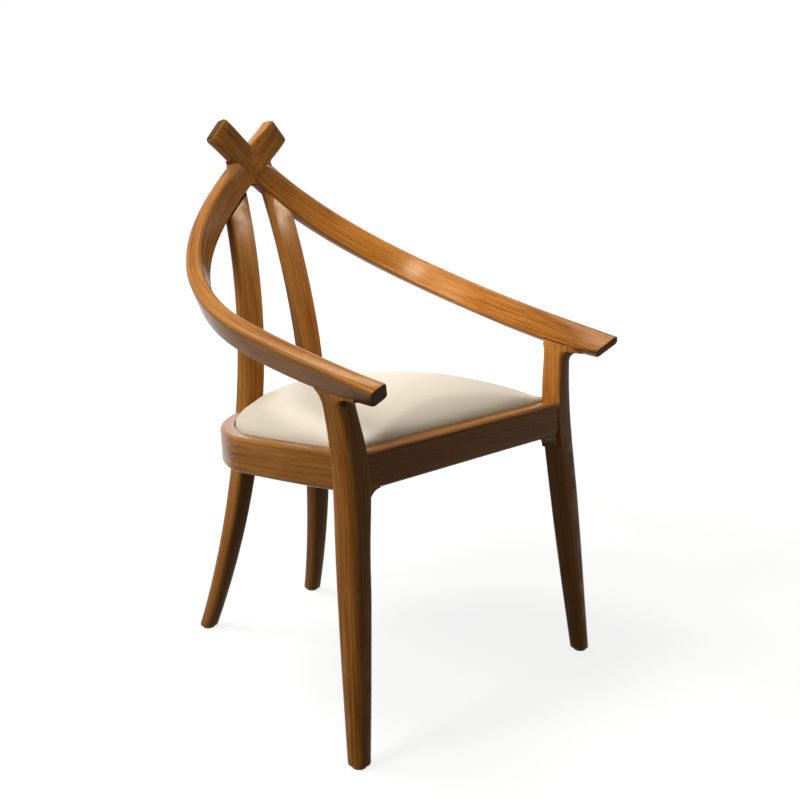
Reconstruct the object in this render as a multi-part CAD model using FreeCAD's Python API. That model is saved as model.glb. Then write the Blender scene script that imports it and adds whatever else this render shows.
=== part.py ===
import FreeCAD, Part
import math
import os

# Wooden armchair whose two arm bows sweep up round the back and cross above it.
# Millimetres, +Z up, the front faces -Y, and left and right are the sitter's own.
# Pieces are modelled with Y counted from the line through the front feet, and moved at the end
# so that the origin lies on the floor under the middle of the chair.

Vec = FreeCAD.Vector
MIDDLE = Vec(0, 0, 0)
ALONG_X = Vec(1, 0, 0)
ALONG_Y = Vec(0, 1, 0)
ALONG_Z = Vec(0, 0, 1)

# Clearances
GLUE_GAP = 0.15           # between glued faces
SCREW_GAP = 0.05          # round a screw in its hole
SOFT_GAP = 0.3            # round foam and leather
FAR = 600.0               # size of a cutting block, larger than any piece
CORNER_LIMIT = 0.95       # largest share of half a side that a rounded corner takes
STEP = 0.001              # small step along a curve, for its direction

# Seat ring: front rail, two bent side rails and a back rail, all leaning back together
SEAT_FRONT_HEIGHT = 429.0
SEAT_SLOPE = 3.5          # degrees, falling to the back
RAIL_HEIGHT = 54.0
RAIL_THICKNESS = 34.0
RAIL_FRONT_Y = 27.0
RAIL_ROUND = 7.0          # outer edges
RAIL_EASE = 2.0           # inner edges of the front rail
RAIL_EAR = 22.0           # radius of the curve under each end of the front rail
SIDE_EAR = 17.0           # the same under the front end of a side rail
REBATE_WIDTH = 13.0       # ledge inside the ring that the pad rests on
REBATE_DEPTH = 20.0
RING_HALF_WIDTH = 250.5
RING_FRONT_HALF_WIDTH = 237.0
RING_BACK_Y = 458.0
RING_BACK_RADIUS = 262.0
RING_CORNER_RADIUS = 92.0
BACK_RAIL_HALF_WIDTH = 118.0

# Front legs, which carry the arms
LEG_FOOT_X = 258.0
LEG_SEAT_X = 232.0
LEG_SEAT_Y = 38.0
LEG_SEAT_Z = 360.0        # where the straight leg starts to sweep outwards
LEG_TOP_X = 249.0
LEG_FOOT_SIZE = 27.0
LEG_SEAT_SIZE = 39.0
LEG_TOP_WIDTH = 31.0
LEG_TOP_DEPTH = 35.0
LEG_ROUND = 9.0
LEG_OUTER_ROUND = 15.0    # the corner that faces out and forward
LEG_RAIL_ROUND = 3.0      # the inner front corner beside the front rail
LEG_FRONT_FLARE = 46.0    # how far the head spreads forward and back along the arm
LEG_REAR_FLARE = 16.0
LEG_INNER_FLARE = 0.2     # share of the spread that the leg's inner side keeps
LEG_FLARE_HEIGHT = 22.0
LEG_FLARE_DROP = 22.0     # where the spread ends below the arm's centre line
LEG_FLARE_TURN = 80.0     # degrees of each curve
LEG_HEAD_DROP = 12.0      # top of the leg's head below the arm's centre line
LEG_HEAD_TUCK = 6.0      # how far its outer front corner draws in under the arm
FOOT_ROUND = 3.0

# Rear posts: leg and back upright in one bent piece
POST_FOOT_X = 122.0
POST_FOOT_Y = 526.0
POST_SEAT_X = 70.0
POST_SEAT_Y = 455.0
POST_SEAT_Z = 420.0       # where the post stands furthest forward
POST_TOP_X = 46.0
POST_TOP_Y = 502.0
POST_TOP_Z = 708.0        # height at which POST_TOP_X and POST_TOP_Y are given
POST_FOOT_SIZE = 28.0
POST_WIDTH = 40.0
POST_TOP_WIDTH = 47.0
POST_DEPTH = 31.0
POST_TOP_DEPTH = 20.0
POST_ROUND = 8.0
POST_FOOT_ROUND = 12.0

# Arm bows
ARM_HALF_SPAN = 260.0     # at the elbow
ARM_TOE_IN = 9.0          # how much nearer the middle the tip is
ARM_TIP_Y = -35.0
ARM_TIP_Z = 520.0
ARM_TIP_SLANT = 32.0      # degrees from upright, the upper edge of the end face further forward
ARM_TIP_ROUND = 3.0
ARM_ELBOW_Y = 215.0       # where the straight arm starts to bend
ARM_ELBOW_Z = 565.0
ARM_APEX_Y = 530.0        # furthest back
ARM_APEX_X = 30.0         # how far past the middle the bend goes on
CROSS_Z = 799.0
HORN_REACH = 64.5         # from the middle to the end past the crossing
HORN_SWEEP = 5.0          # how far back the end bends
HORN_ROUND = 7.0
WEB_ROUND = 10.0          # hollow under the crossing
SIDE_WEB_ROUND = 7.0      # hollows to each side of it
WEB_INSET = 3.0           # of the webs below the broad faces
WEB_FLATS = 5             # along each hollow
ARM_CLIMB_EASE = 0.455    # share of the climb that is steady, the rest gathers pace
ARM_TIP_HEIGHT = 38.0
ARM_HEIGHT = 46.0
ARM_CROSS_HEIGHT = 47.0
ARM_TIP_THICKNESS = 23.0
ARM_THICKNESS = 25.0
ARM_ROUND = 7.0
ARM_TIP_LEAN = 44.0       # degrees by which the slat leans outwards
ARM_ELBOW_LEAN = 26.0
ARM_CROSS_LEAN = 12.0

# Tenons
TENON_THICKNESS = 10.0
TENON_SHOULDER = 12.0     # rail left above and below a tenon
FRONT_TENON_LENGTH = 20.0
SIDE_TENON_LENGTH = 10.0
RING_TENON_LENGTH = 36.0
LEG_TENON_DEPTH = 20.0
POST_TENON_WIDTH = 20.0

# Seat pad, screwed down from below
PAD_GAP = 1.5             # between the pad and the ring
BOARD_THICKNESS = 12.0
COVER_THICKNESS = 1.4
COVER_TURN_IN = 24.0      # width of the leather turned in under the board
PAD_CROWN = 50.0          # above the ring's top
PAD_CROWN_RADIUS = 900.0
PAD_CENTRE_Y = 250.0      # of the crown
PAD_SIDE = 3.0            # upright part of its side above the ring's top
PAD_FULLNESS = 2.6        # powers that shape the drawn-in edge
PAD_EDGE_BEND = 0.55
PAD_LEVELS = (1, 0.97, 0.89)  # outlines of that edge, as shares of the pad's plan
PAD_INNER_LEVELS = (1, 0.9)  # the same inside the leather
PAD_TOP_SHARE = 0.7       # outline at the height of the crown, before it is rounded over
PAD_CORNER_ROUND = 26.0
PAD_SIDES = 56            # straight runs that follow its plan
CLOTH_THICKNESS = 1.0
CLOTH_GAP = 3.0           # between the cloth and the ring

# Corner blocks
BLOCK_HEIGHT = 26.0
BLOCK_REACH = 62.0        # front blocks, along each rail
REAR_BLOCK_WIDTH = 56.0
REAR_BLOCK_DEPTH = 28.0

# Screws
SCREW_DIAMETER = 4.0
SCREW_HEAD_DIAMETER = 8.0
SCREW_HEAD_HEIGHT = 2.5
SCREW_FLATS = 6
SEAT_SCREW_BITE = 8.0     # into the board
SEAT_SCREW_INSET = 52.0   # from the ring's outer faces
BLOCK_SCREW_BED = 11.0    # block under a screw head
BLOCK_SCREW_BITE = 14.0   # into the rail
BLOCK_SCREW_PLACE = 28.0  # from the corner along each rail
REAR_SCREW_SPREAD = 4.5   # degrees to each side of the middle of a rear block
POST_SCREW_SINK = 8.0     # head below the back rail's inner face
POST_SCREW_BITE = 15.0    # into the post
POST_SCREW_PITCH = 16.0

# Glides under the feet
GLIDE_DIAMETER = 20.0
GLIDE_HEIGHT = 3.0
GLIDE_FLATS = 12


def mix(a, b, share):
    return a + (b - a) * share


def smooth(share):
    share = min(1.0, max(0.0, share))
    return share * share * (3 - 2 * share)


def mirrored(shape):
    return shape.mirror(MIDDLE, ALONG_X)


def largest(shape):
    return max(shape.Solids, key=lambda solid: solid.Volume)


def block(x0, x1, y0, y1, z0, z1):
    return Part.makeBox(x1 - x0, y1 - y0, z1 - z0, Vec(x0, y0, z0))


def prism(points, bottom, top):
    """Upright prism over a plan outline of straight lines."""
    base = [Vec(x, y, bottom) for x, y in points]
    return Part.Face(closed(base)).extrude(Vec(0, 0, top - bottom))


def corner_steps(radius):
    """Flats that follow a quarter round: offsets from the two sides, from one side to the other."""
    half_turn = math.pi / 12
    near = radius * (1 - math.tan(half_turn))
    far = radius * (1 - math.cos(math.pi / 4) / math.cos(half_turn))
    return ((0, near), (far, far), (near, 0))


def section_points(centre, along_a, along_b, half_a, half_b, rounds):
    """Corners of a rounded rectangle with the radii of its corners +a+b, -a+b, -a-b, +a-b."""
    limit = CORNER_LIMIT * min(half_a, half_b)
    points = []
    for (side_a, side_b), radius in zip(((1, 1), (-1, 1), (-1, -1), (1, -1)), rounds):
        steps = corner_steps(min(radius, limit))
        for in_a, in_b in steps if side_a * side_b > 0 else steps[::-1]:
            point = centre + along_a * (side_a * (half_a - in_a))
            points.append(point + along_b * (side_b * (half_b - in_b)))
    return points


def closed(points):
    return Part.makePolygon(points + points[:1])


def section(*values):
    return closed(section_points(*values))


def eased_cap(wire, radius):
    """End of a bar with rounded edges; wire takes the distance from the end and how far it is drawn in."""
    steps = reversed(corner_steps(radius))
    return Part.makeLoft([wire(depth, inset) for depth, inset in steps], True, True)


def rod(radius, length, base, axis, flats):
    """Small round bar with a number of flats round it."""
    side = axis.cross(ALONG_X if abs(axis.x) < 0.9 else ALONG_Y).normalize()
    other = axis.cross(side)
    turns = [2 * math.pi * k / flats for k in range(flats)]
    points = [base + side * (radius * math.cos(t)) + other * (radius * math.sin(t)) for t in turns]
    return Part.Face(closed(points)).extrude(axis * length)


def peg(width, depth, base, top):
    """Square-edged tenon from base to top, width across and depth fore and aft."""
    a, b = ALONG_X * (width / 2), ALONG_Y * (depth / 2)
    points = [base + a + b, base - a + b, base - a - b, base + a - b]
    return Part.Face(closed(points)).extrude(top - base)


# Arm bows, modelled on the sitter's right (-X)

def arm_cross():
    """Place on the bend, from 0 to 1, where the bow passes the middle of the chair."""
    return math.acos(ARM_APEX_X / (ARM_HALF_SPAN + ARM_APEX_X)) / (math.pi / 2)


def climb(t):
    """Height gained on the bend up to t."""
    def share(s):
        return ARM_CLIMB_EASE * s + (1 - ARM_CLIMB_EASE) * s * s
    return (CROSS_Z - ARM_ELBOW_Z) * share(t) / share(arm_cross())


def arm_point(w):
    """Centre line: w runs 0 to 1 along the straight arm, 1 to 2 round the bend, 2 to 3 along the horn."""
    wide = ARM_HALF_SPAN + ARM_APEX_X
    deep = ARM_APEX_Y - ARM_ELBOW_Y
    if w <= 1:
        run = ARM_ELBOW_Y - ARM_TIP_Y
        slope = climb(STEP) / (deep * math.sin(STEP * math.pi / 2))
        curve = (ARM_TIP_Z - ARM_ELBOW_Z + slope * run) / run ** 2
        back = (1 - w) * run
        x = ARM_TOE_IN * (1 - w) ** 2 - ARM_HALF_SPAN
        return Vec(x, ARM_ELBOW_Y - back, ARM_ELBOW_Z - slope * back + curve * back ** 2)
    t = min(w, 2) - 1
    angle = t * math.pi / 2
    bend = Vec(ARM_APEX_X - wide * math.cos(angle), ARM_ELBOW_Y + deep * math.sin(angle), 0)
    bend.z = ARM_ELBOW_Z + climb(t)
    if w <= 2:
        return bend
    slope = (climb(1) - climb(1 - STEP)) / (wide * math.cos((1 - STEP) * math.pi / 2))
    swept = Vec(0, HORN_SWEEP * (w - 2) ** 2, 0)
    return bend + Vec(1, 0, slope) * ((w - 2) * (HORN_REACH - ARM_APEX_X)) + swept


def from_tip(w):
    """Share of the change from tip to elbow, most of it near the tip."""
    return 1 - (1 - min(1, w)) ** 3


def arm_frame(w):
    """Centre, tangent, inward face normal and upward slat direction at w."""
    tangent = (arm_point(w + STEP) - arm_point(w - STEP)).normalize()
    inward = Vec(tangent.y, -tangent.x, 0).normalize()
    upward = inward.cross(tangent)
    if w <= 1:
        lean = mix(ARM_TIP_LEAN, ARM_ELBOW_LEAN, from_tip(w))
    else:
        lean = mix(ARM_ELBOW_LEAN, ARM_CROSS_LEAN, smooth(w - 1))
    c, s = math.cos(math.radians(lean)), math.sin(math.radians(lean))
    return arm_point(w), tangent, inward * c + upward * s, upward * c - inward * s


def arm_wire(w, grow, grow_face):
    """Section of the bow at w, slanted at the tip."""
    centre, tangent, normal, slat = arm_frame(w)
    height = mix(ARM_TIP_HEIGHT, ARM_HEIGHT, from_tip(w))
    if w > 1:
        height = mix(ARM_HEIGHT, ARM_CROSS_HEIGHT, smooth(w - 1))
    half_thick = mix(ARM_TIP_THICKNESS, ARM_THICKNESS, smooth(w)) / 2 + grow + grow_face
    points = section_points(centre, slat, normal, height / 2 + grow, half_thick, [ARM_ROUND + grow] * 4)
    slant = math.tan(math.radians(ARM_TIP_SLANT)) * max(0, 1 - w / leg_station())
    return closed([point - tangent * ((point.z - centre.z) * slant) for point in points])


def arm_bow(grow=0.0, grow_face=0.0):
    """The whole bow, its section grown by grow all round and by grow_face on its two broad faces."""
    run = ARM_ELBOW_Y - ARM_TIP_Y
    horn = (arm_point(3) - arm_point(2)).Length
    tip_share = corner_steps(ARM_TIP_ROUND)[0][1] / run
    horn_share = corner_steps(HORN_ROUND)[0][1] / horn
    stations = [tip_share] + [k / 4 for k in range(1, 4)] + [1 + k / 8 for k in range(9)]
    stations += [2.5, 3 - horn_share]
    bow = Part.makeLoft([arm_wire(w, grow, grow_face) for w in stations], True)
    tip = eased_cap(lambda depth, inset: arm_wire(depth / run, grow - inset, grow_face), ARM_TIP_ROUND)
    end = eased_cap(lambda depth, inset: arm_wire(3 - depth / horn, grow - inset, grow_face), HORN_ROUND)
    return bow.fuse([tip, end])


def lap_side(front):
    """Half space before or behind the plane on which the two bows lap."""
    centre, tangent, normal, slat = arm_frame(1 + arm_cross())
    half = block(-FAR, FAR, -FAR, 0, -FAR, FAR) if front else block(-FAR, FAR, 0, FAR, -FAR, FAR)
    half.rotate(MIDDLE, ALONG_X, math.degrees(math.atan2(-normal.z, -normal.y)))
    half.translate(centre)
    return half


def crossing_web(heading, radius):
    """Web with a hollow edge in a corner of the crossing, heading (across, up) from its middle."""
    centre, tangent, normal, slat = arm_frame(1 + arm_cross())
    facing = Vec(0, normal.y, normal.z).normalize()
    upward = facing.cross(ALONG_X)
    rise = math.atan2(tangent.dot(upward), tangent.x)
    ahead = ALONG_X * heading[0] + upward * heading[1]
    aside = ahead.cross(facing)
    away = math.sin(rise) if heading[0] else math.cos(rise)
    wide = math.cos(rise) if heading[0] else math.sin(rise)
    root = ahead * (ARM_CROSS_HEIGHT / 4 / away)
    hub = ahead * ((ARM_CROSS_HEIGHT / 2 + radius) / away)
    one = hub - ahead * (radius * away) + aside * (radius * wide)
    other = hub - ahead * (radius * away) - aside * (radius * wide)
    hollow = Part.Arc(one, hub - ahead * radius, other).toShape().discretize(WEB_FLATS + 1)
    web = Part.Face(closed(hollow + [root])).extrude(facing * (ARM_THICKNESS - 2 * WEB_INSET))
    web.translate(centre - facing * (ARM_THICKNESS / 2 - WEB_INSET))
    return web


# Front legs, modelled on the sitter's right (-X)

def leg_station():
    """Place along the arm's straight run that lies over the leg."""
    top_y = LEG_SEAT_Y * ARM_TIP_Z / LEG_SEAT_Z
    return (top_y - ARM_TIP_Y) / (ARM_ELBOW_Y - ARM_TIP_Y)


def leg_top():
    return arm_point(leg_station()).z


def leg_centre(z):
    slope = (LEG_SEAT_X - LEG_FOOT_X) / LEG_SEAT_Z
    x = LEG_FOOT_X + slope * z
    if z > LEG_SEAT_Z:
        straight = LEG_FOOT_X + slope * leg_top()
        x += (LEG_TOP_X - straight) * ((z - LEG_SEAT_Z) / (leg_top() - LEG_SEAT_Z)) ** 2
    return Vec(-x, LEG_SEAT_Y * z / LEG_SEAT_Z, z)


def leg_size(z):
    """Width across and depth fore and aft at height z, without the flare."""
    if z <= LEG_SEAT_Z:
        size = mix(LEG_FOOT_SIZE, LEG_SEAT_SIZE, math.sin(z / LEG_SEAT_Z * math.pi / 2))
        return size, size
    share = ((z - LEG_SEAT_Z) / (leg_top() - LEG_SEAT_Z)) ** 2
    return mix(LEG_SEAT_SIZE, LEG_TOP_WIDTH, share), mix(LEG_SEAT_SIZE, LEG_TOP_DEPTH, share)


def arm_slope():
    """Rise of the arm over the leg, front to back."""
    tangent = arm_frame(leg_station())[1]
    return tangent.z / tangent.y


def leg_wire(z, turn, grow):
    """Section at height z; turn, in radians, is how far the curve that spreads the head has bent."""
    width, depth = leg_size(z)
    centre = leg_centre(z)
    away = abs(z - SEAT_FRONT_HEIGHT + RAIL_HEIGHT / 2) - RAIL_HEIGHT / 2
    inner_front = mix(LEG_RAIL_ROUND, LEG_ROUND, smooth(away / RAIL_HEIGHT))
    rounds = [LEG_ROUND, LEG_ROUND, LEG_OUTER_ROUND, inner_front]
    points = section_points(centre, ALONG_X, ALONG_Y, width / 2 + grow, depth / 2 + grow, rounds)
    spread = 1 - math.cos(turn)
    moved = []
    for point in points:
        outer = 0.5 - (point.x - centre.x) / width
        front = point.y < centre.y
        reach = -LEG_FRONT_FLARE if front else LEG_REAR_FLARE
        back = point.y - centre.y + spread * reach * mix(LEG_INNER_FLARE, 1, outer)
        tuck = spread * LEG_HEAD_TUCK * outer if front else 0
        moved.append(Vec(point.x + tuck, centre.y + back, z + back * arm_slope() * spread))
    return closed(moved)


def leg_body(grow=0.0):
    flare_end = leg_top() - LEG_FLARE_DROP
    last = math.radians(LEG_FLARE_TURN)
    flare_start = flare_end - LEG_FLARE_HEIGHT * math.sin(last)
    foot = GLIDE_HEIGHT + corner_steps(FOOT_ROUND)[0][1]
    shaft = [leg_wire(mix(foot, flare_start, k / 8), 0, grow) for k in range(9)]
    turns = [last * k / 4 for k in range(5)]
    head = [leg_wire(flare_start + LEG_FLARE_HEIGHT * math.sin(turn), turn, grow) for turn in turns]
    head.append(leg_wire(leg_top() - LEG_HEAD_DROP, last, grow))
    cap = eased_cap(lambda depth, inset: leg_wire(GLIDE_HEIGHT + depth, 0, grow - inset), FOOT_ROUND)
    return Part.makeLoft(shaft, True).fuse([cap, Part.makeLoft(head, True, True)])


def leg_tenon(grow=0.0):
    """Tenon on the leg's head, inside the arm."""
    base = leg_centre(leg_top() - LEG_FLARE_DROP - LEG_FLARE_HEIGHT)
    top = arm_point(leg_station()) + Vec(0, 0, grow)
    return peg(TENON_THICKNESS + 2 * grow, LEG_TENON_DEPTH + 2 * grow, base, top)


# Rear posts, modelled on the sitter's right (-X)

def post_centre(z):
    below, above = POST_SEAT_Z, POST_TOP_Z - POST_SEAT_Z
    spread, gather = POST_FOOT_X - POST_SEAT_X, POST_SEAT_X - POST_TOP_X
    bend = (spread / below - gather / above) / (below + above)
    lean = spread / below - bend * below
    d = POST_SEAT_Z - z
    reach = (POST_FOOT_Y - POST_SEAT_Y) / below ** 2 if d > 0 else (POST_TOP_Y - POST_SEAT_Y) / above ** 2
    return Vec(-(POST_SEAT_X + lean * d + bend * d * d), POST_SEAT_Y + reach * d * d, z)


def post_station():
    """Place along the bow over the top of the post."""
    return 1 + math.acos((ARM_APEX_X + POST_TOP_X) / (ARM_APEX_X + ARM_HALF_SPAN)) / (math.pi / 2)


def post_size(z):
    if z <= POST_SEAT_Z:
        share = math.sin(z / POST_SEAT_Z * math.pi / 2)
        return mix(POST_FOOT_SIZE, POST_WIDTH, share), mix(POST_FOOT_SIZE, POST_DEPTH, share)
    share = smooth((z - POST_SEAT_Z) / (POST_TOP_Z - POST_SEAT_Z))
    return mix(POST_WIDTH, POST_TOP_WIDTH, share), mix(POST_DEPTH, POST_TOP_DEPTH, share)


def post_wire(z, grow):
    width, depth = post_size(z)
    radius = mix(POST_FOOT_ROUND, POST_ROUND, smooth(z / POST_SEAT_Z)) + grow
    return section(post_centre(z), ALONG_X, ALONG_Y, width / 2 + grow, depth / 2 + grow, [radius] * 4)


def post_body(grow=0.0):
    top = arm_point(post_station()).z
    foot = GLIDE_HEIGHT + corner_steps(FOOT_ROUND)[0][1]
    heights = [mix(foot, POST_SEAT_Z, k / 5) for k in range(5)]
    heights += [mix(POST_SEAT_Z, top, k / 5) for k in range(6)]
    cap = eased_cap(lambda depth, inset: post_wire(GLIDE_HEIGHT + depth, grow - inset), FOOT_ROUND)
    return Part.makeLoft([post_wire(z, grow) for z in heights], True).fuse(cap)


def post_tenon(grow=0.0):
    """Tenon from the post's top into the arm."""
    top = arm_point(post_station())
    axis = (post_centre(POST_TOP_Z) - post_centre(POST_TOP_Z - POST_WIDTH)).normalize()
    base = top - axis * (ARM_HEIGHT / 2 + POST_WIDTH)
    return peg(POST_TENON_WIDTH + 2 * grow, TENON_THICKNESS + 2 * grow, base, top + axis * grow)


# Seat ring and pad, in the ring's own frame with its top at z 0

def on_seat(shape):
    """Moves a shape from the ring's level frame to the leaning seat."""
    moved = shape.copy()
    moved.rotate(Vec(0, RAIL_FRONT_Y, 0), ALONG_X, -SEAT_SLOPE)
    moved.translate(Vec(0, 0, SEAT_FRONT_HEIGHT))
    return moved


def back_centre():
    return RING_BACK_Y - RING_BACK_RADIUS


def ring_outline(inset):
    """Closed wire of the seat's plan, set in by inset from the ring's outer faces."""
    half = RING_HALF_WIDTH - inset
    front_half = RING_FRONT_HALF_WIDTH - inset
    front = RAIL_FRONT_Y + inset
    corner = RING_CORNER_RADIUS - inset
    back = RING_BACK_RADIUS - inset
    reach = half - corner
    corner_centre = back_centre() + math.sqrt((back - corner) ** 2 - reach ** 2)
    run = corner_centre - front
    drop = half - front_half
    side = (run * run + drop * drop) / (2 * drop)
    lift = math.asin(run / side) / 2
    turn = math.atan2(corner_centre - back_centre(), reach)
    start = Vec(front_half, front, 0)
    side_middle = Vec(half - side * (1 - math.cos(lift)), corner_centre - side * math.sin(lift), 0)
    side_end = Vec(half, corner_centre, 0)
    corner_middle = Vec(reach + corner * math.cos(turn / 2), corner_centre + corner * math.sin(turn / 2), 0)
    corner_end = Vec(back * math.cos(turn), back_centre() + back * math.sin(turn), 0)
    left = [start, side_middle, side_end, corner_middle, corner_end]
    right = [Vec(-p.x, p.y, 0) for p in left]
    curves = [
        Part.LineSegment(right[0], left[0]),
        Part.Arc(left[0], left[1], left[2]),
        Part.Arc(left[2], left[3], left[4]),
        Part.Arc(left[4], Vec(0, back_centre() + back, 0), right[4]),
        Part.Arc(right[4], right[3], right[2]),
        Part.Arc(right[2], right[1], right[0]),
    ]
    return Part.Wire([curve.toShape() for curve in curves])


def ring_prism(inset, bottom, top):
    solid = Part.Face(ring_outline(inset)).extrude(Vec(0, 0, top - bottom))
    solid.translate(Vec(0, 0, bottom))
    return solid


def ring_eased(bottom, top, radius):
    """Ring's outer body with its upper and lower edges rounded."""
    steps = corner_steps(radius)
    levels = [(inset, bottom + depth) for depth, inset in steps]
    levels += [(inset, top - depth) for depth, inset in reversed(steps)]
    wires = []
    for inset, z in levels:
        wire = ring_outline(inset)
        wire.translate(Vec(0, 0, z))
        wires.append(wire)
    return Part.makeLoft(wires, True, True)


def ring_band():
    """Whole ring behind the front rail, with its rounded outer edges and the ledge for the pad."""
    band = ring_eased(-RAIL_HEIGHT, 0, RAIL_ROUND).cut(ring_prism(RAIL_THICKNESS, -RAIL_HEIGHT, 0))
    band = band.cut(ring_prism(RAIL_THICKNESS - REBATE_WIDTH, -REBATE_DEPTH, 0))
    front = RAIL_FRONT_Y + RAIL_THICKNESS + GLUE_GAP
    return band.cut(block(-FAR, FAR, -FAR, front, -FAR, FAR))


def back_wedge(spread):
    """Slice of the ring that holds the back rail, widened by spread at each end."""
    angle = math.acos(BACK_RAIL_HALF_WIDTH / RING_BACK_RADIUS)
    out = Vec(math.cos(angle), math.sin(angle), 0)
    side = Vec(out.y, -out.x, 0) * spread
    hub = Vec(0, back_centre(), 0) + side
    tip = hub + out * FAR
    points = [(0, back_centre()), (hub.x, hub.y), (tip.x, tip.y), (-tip.x, tip.y), (-hub.x, hub.y)]
    return prism(points if spread else [points[0], points[2], points[3]], -FAR, FAR)


def leg_inner_x():
    """Inner face of a front leg at the height of the rail's underside."""
    z = SEAT_FRONT_HEIGHT - RAIL_HEIGHT
    return -leg_centre(z).x - leg_size(z)[0] / 2


def ear(radius, reach, width):
    """Web along X with a hollow curve, under a rail at z 0 and beside a leg at x 0, which it reaches into."""
    bend = radius * (1 - math.sqrt(0.5))
    tip, foot = Vec(radius, 0, 0), Vec(0, 0, -radius)
    curve = Part.Arc(tip, Vec(bend, 0, -bend), foot).toShape()
    rest = [foot, Vec(-reach, 0, -radius), Vec(-reach, 0, RAIL_ROUND), Vec(radius, 0, RAIL_ROUND), tip]
    return Part.Face(Part.Wire([curve] + Part.makePolygon(rest).Edges)).extrude(Vec(0, width, 0))


def front_ear():
    """Curved web under the right end of the front rail, where it meets the leg."""
    inset = corner_steps(RAIL_ROUND)[1][0]
    web = ear(RAIL_EAR, LEG_SEAT_SIZE / 4, RAIL_THICKNESS - inset)
    web.translate(Vec(-leg_inner_x(), RAIL_FRONT_Y + inset, -RAIL_HEIGHT))
    return web


def side_ear():
    """Curved web under the front end of the right side rail, behind the leg."""
    outer = RING_FRONT_HALF_WIDTH - corner_steps(RAIL_ROUND)[1][0]
    inner = leg_inner_x() + LEG_SEAT_SIZE / 4 + GLUE_GAP
    web = ear(SIDE_EAR, LEG_SEAT_SIZE / 2, outer - inner)
    web.rotate(MIDDLE, ALONG_Z, 90)
    web.translate(Vec(-inner, RAIL_FRONT_Y + RAIL_THICKNESS, -RAIL_HEIGHT))
    return web


def front_rail_bar():
    """Front rail with the curve under each end, running on into the legs."""
    end = leg_inner_x() + LEG_SEAT_SIZE / 4
    centre = Vec(-end, RAIL_FRONT_Y + RAIL_THICKNESS / 2, -RAIL_HEIGHT / 2)
    rounds = [RAIL_EASE, RAIL_EASE, RAIL_ROUND, RAIL_ROUND]
    profile = section(centre, ALONG_Z, ALONG_Y, RAIL_HEIGHT / 2, RAIL_THICKNESS / 2, rounds)
    bar = Part.Face(profile).extrude(Vec(2 * end, 0, 0))
    bar = bar.fuse(both_sides([front_ear()]))
    ledge = RAIL_FRONT_Y + RAIL_THICKNESS - REBATE_WIDTH
    return bar.cut(block(-FAR, FAR, ledge, FAR, -REBATE_DEPTH, FAR))


def front_tenon(grow=0.0):
    """Tenon at the right end of the front rail."""
    y = RAIL_FRONT_Y + RAIL_THICKNESS / 2
    half = TENON_THICKNESS / 2 + grow
    x = -leg_inner_x()
    low, high = -RAIL_HEIGHT + TENON_SHOULDER - grow, -TENON_SHOULDER + grow
    return block(x - FRONT_TENON_LENGTH - grow, x + FRONT_TENON_LENGTH, y - half, y + half, low, high)


def side_tenon(grow=0.0):
    """Tenon at the front end of the right side rail."""
    x = -(leg_inner_x() + RING_FRONT_HALF_WIDTH) / 2
    half = TENON_THICKNESS / 2 + grow
    y = RAIL_FRONT_Y + RAIL_THICKNESS
    low, high = -RAIL_HEIGHT + TENON_SHOULDER - grow, -REBATE_DEPTH - GLUE_GAP + grow
    return block(x - half, x + half, y - SIDE_TENON_LENGTH - grow, y + SIDE_TENON_LENGTH, low, high)


def ring_tenon(grow=0.0):
    """Loose tenon across the joint of the right side rail and the back rail."""
    angle = math.acos(BACK_RAIL_HALF_WIDTH / RING_BACK_RADIUS)
    radius = RING_BACK_RADIUS - (RAIL_THICKNESS - REBATE_WIDTH) / 2
    half = TENON_THICKNESS / 2 + grow
    reach = RING_TENON_LENGTH / 2 + grow
    low, high = -RAIL_HEIGHT + TENON_SHOULDER - grow, -TENON_SHOULDER + grow
    tenon = block(-reach, reach, -half, half, low, high)
    tenon.rotate(MIDDLE, ALONG_Z, 90 - math.degrees(angle))
    tenon.translate(Vec(-radius * math.cos(angle), back_centre() + radius * math.sin(angle), 0))
    return tenon


# Seat pad, in the ring's frame

def pad_inset():
    return RAIL_THICKNESS - REBATE_WIDTH + PAD_GAP


def pad_base():
    """Height of the pad's underside."""
    return -REBATE_DEPTH + SOFT_GAP


def pad_outline(skin):
    """Plan of the pad with its rounded front corners."""
    flat = ring_prism(pad_inset() + skin, 0, 1)
    uprights = [edge for edge in flat.Edges if edge.BoundBox.ZLength > 0.5]
    front = [edge for edge in uprights if edge.CenterOfMass.y < RAIL_FRONT_Y + RAIL_THICKNESS]
    flat = flat.makeFillet(PAD_CORNER_ROUND - skin, front)
    floor = min(flat.Faces, key=lambda face: face.CenterOfMass.z)
    return closed(floor.OuterWire.discretize(PAD_SIDES + 1)[:-1])


def pad_dome(skin, bottom, shares):
    """Crowned body of the pad, skin deep inside its leather face, through outlines of the given shares."""
    outline = pad_outline(skin)
    middle = Vec(0, PAD_CENTRE_Y, 0)
    levels = [(1, bottom)]
    for share in shares:
        rise = (1 - share ** PAD_FULLNESS) ** PAD_EDGE_BEND
        levels.append((share, mix(PAD_SIDE, PAD_CROWN, rise) - skin))
    levels.append((PAD_TOP_SHARE, PAD_CROWN))
    wires = []
    for share, z in levels:
        wire = outline.scaled(share, middle)
        wire.translate(Vec(0, 0, z))
        wires.append(wire)
    hub = middle + ALONG_Z * (PAD_CROWN - PAD_CROWN_RADIUS)
    ball = Part.makeSphere(PAD_CROWN_RADIUS - skin, hub, ALONG_X)
    return Part.makeLoft(wires, True, True).common(ball)


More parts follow.
